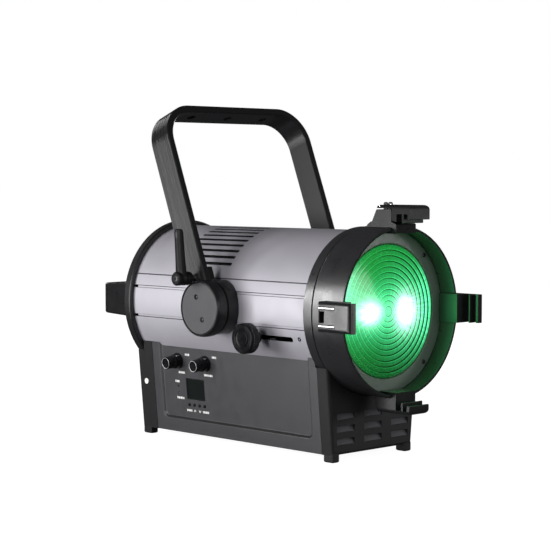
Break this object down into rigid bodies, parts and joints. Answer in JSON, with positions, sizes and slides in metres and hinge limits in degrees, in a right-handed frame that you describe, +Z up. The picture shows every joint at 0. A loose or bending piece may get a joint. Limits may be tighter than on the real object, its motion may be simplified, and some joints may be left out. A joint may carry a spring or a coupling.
{
  "type": "fresnel spotlight",
  "caption": "Zoom fresnel stage light with a round barrel, boxed driver housing on feet, tilting yoke, lever clamp and accessory clips.",
  "frame": {"origin": "on the floor under the middle of the whole light's box; the lamp's own middle plane is 11.75 mm towards +X, because the clamping lever stands out on the -X side", "axes": "+Z up, the beam leaves towards -Y, the control panel and the clamping lever are on the -X side, and the tilt axis runs along X at y = 0, z = 0.167"},
  "size_m": [0.2726, 0.452, 0.4031],
  "materials": {
    "anodised_barrel": "satin",
    "black_casting": "satin",
    "charcoal_panel": "matte",
    "disc_face": "matte",
    "black_yoke": "satin",
    "lens_glass": "polished",
    "display_glass": "gloss",
    "indicator": "gloss",
    "rubber": "matte",
    "black_plastic": "satin",
    "blue_plastic": "satin",
    "power_supply_case": "matte",
    "steel": "satin",
    "bare_aluminium": "satin",
    "circuit_board": "satin",
    "led_array": "gloss"
  },
  "bodies": {
    "housing": {"barrel": "anodised_barrel", "front_hood": "black_casting", "lens_retaining_ring": "black_casting", "ear_left": "black_casting", "ear_right": "black_casting", "ear_bottom": "black_casting", "ear_top": "black_casting", "rear_cap": "black_casting", "rear_handle": "black_casting", "front_end_plate": "black_casting", "rear_end_plate": "black_casting", "tilt_boss_left": "black_casting", "tilt_boss_right": "black_casting", "control_panel": "charcoal_panel", "side_panel": "charcoal_panel", "base_plate": "charcoal_panel", "fresnel_lens": "lens_glass", "display_window": "display_glass", "signal_led": "indicator", "power_led": "indicator", "lens_gasket": "rubber", "friction_washer_left": "rubber", "friction_washer_right": "rubber", "power_outlet": "black_plastic", "dmx_input": "black_plastic", "dmx_output": "black_plastic", "power_inlet": "blue_plastic", "power_supply": "power_supply_case", "latch_pin": "steel", "latch_spring": "steel", "guide_rod_left": "steel", "guide_rod_right": "steel", "pivot_bolt_left": "steel", "pivot_bolt_right": "steel", "rod_bracket_front": "bare_aluminium", "rod_bracket_rear": "bare_aluminium", "control_board": "circuit_board"},
    "yoke_body": {"yoke": "black_yoke", "yoke_disc_left": "black_casting", "yoke_disc_right": "black_casting", "disc_cover_left": "disc_face", "disc_cover_right": "disc_face", "lever_stud": "steel", "brake_shoe": "steel"},
    "lever": {"tilt_lever": "black_plastic"},
    "latch": {"top_latch": "black_casting"},
    "focus_carriage": {"focus_sled": "bare_aluminium", "led_module": "led_array", "reflector": "bare_aluminium", "heatsink": "bare_aluminium", "fan_frame": "black_plastic", "focus_stem": "steel"},
    "focus_lock": {"focus_knob": "black_plastic"},
    "fan": {"fan_rotor": "black_plastic"},
    "mode_encoder": {"mode_knob": "black_plastic"},
    "dimmer_encoder": {"dimmer_knob": "black_plastic"},
    "menu_key": {"menu_button": "black_plastic"},
    "up_key": {"up_button": "black_plastic"},
    "down_key": {"down_button": "black_plastic"},
    "enter_key": {"enter_button": "black_plastic"}
  },
  "joints": [
    {"name": "yoke_tilt", "type": "hinge", "parent": "housing", "child": "yoke_body", "pos_m": [0.01175, 0, 0.167], "axis": [-1, 0, 0], "range_deg": [-74, 95]},
    {"name": "tilt_lever_turn", "type": "hinge", "parent": "yoke_body", "child": "lever", "pos_m": [-0.12825, 0.01344, 0.20147], "axis": [-1, 0, 0], "range_deg": [0, 110]},
    {"name": "latch_lift", "type": "hinge", "parent": "housing", "child": "latch", "pos_m": [0.01175, -0.1788, 0.2848], "axis": [-1, 0, 0], "range_deg": [0, 65], "stiffness_Nm_per_rad": 0.15, "springref_deg": -20.05},
    {"name": "focus_slide", "type": "slide", "parent": "housing", "child": "focus_carriage", "axis": [0, 1, 0], "range_m": [-0.046, 0.022]},
    {"name": "focus_knob_turn", "type": "hinge", "parent": "focus_carriage", "child": "focus_lock", "pos_m": [-0.09825, -0.064, 0.136], "axis": [-1, 0, 0], "range_deg": [0, 540]},
    {"name": "fan_spin", "type": "hinge", "parent": "focus_carriage", "child": "fan", "pos_m": [0.01175, 0.007, 0.167], "axis": [0, -1, 0], "continuous": true},
    {"name": "mode_knob_turn", "type": "hinge", "parent": "housing", "child": "mode_encoder", "pos_m": [-0.05989, 0.0975, 0.09572], "axis": [-0.9958, 0, -0.0914], "continuous": true},
    {"name": "dimmer_knob_turn", "type": "hinge", "parent": "housing", "child": "dimmer_encoder", "pos_m": [-0.05989, 0.048, 0.09572], "axis": [-0.9958, 0, -0.0914], "continuous": true},
    {"name": "menu_press", "type": "slide", "parent": "housing", "child": "menu_key", "axis": [0.9958, 0, 0.0914], "range_m": [0, 0.0007], "stiffness_N_per_m": 600, "springref_m": -0.0005},
    {"name": "up_press", "type": "slide", "parent": "housing", "child": "up_key", "axis": [0.9958, 0, 0.0914], "range_m": [0, 0.0007], "stiffness_N_per_m": 600, "springref_m": -0.0005},
    {"name": "down_press", "type": "slide", "parent": "housing", "child": "down_key", "axis": [0.9958, 0, 0.0914], "range_m": [0, 0.0007], "stiffness_N_per_m": 600, "springref_m": -0.0005},
    {"name": "enter_press", "type": "slide", "parent": "housing", "child": "enter_key", "axis": [0.9958, 0, 0.0914], "range_m": [0, 0.0007], "stiffness_N_per_m": 600, "springref_m": -0.0005}
  ]
}
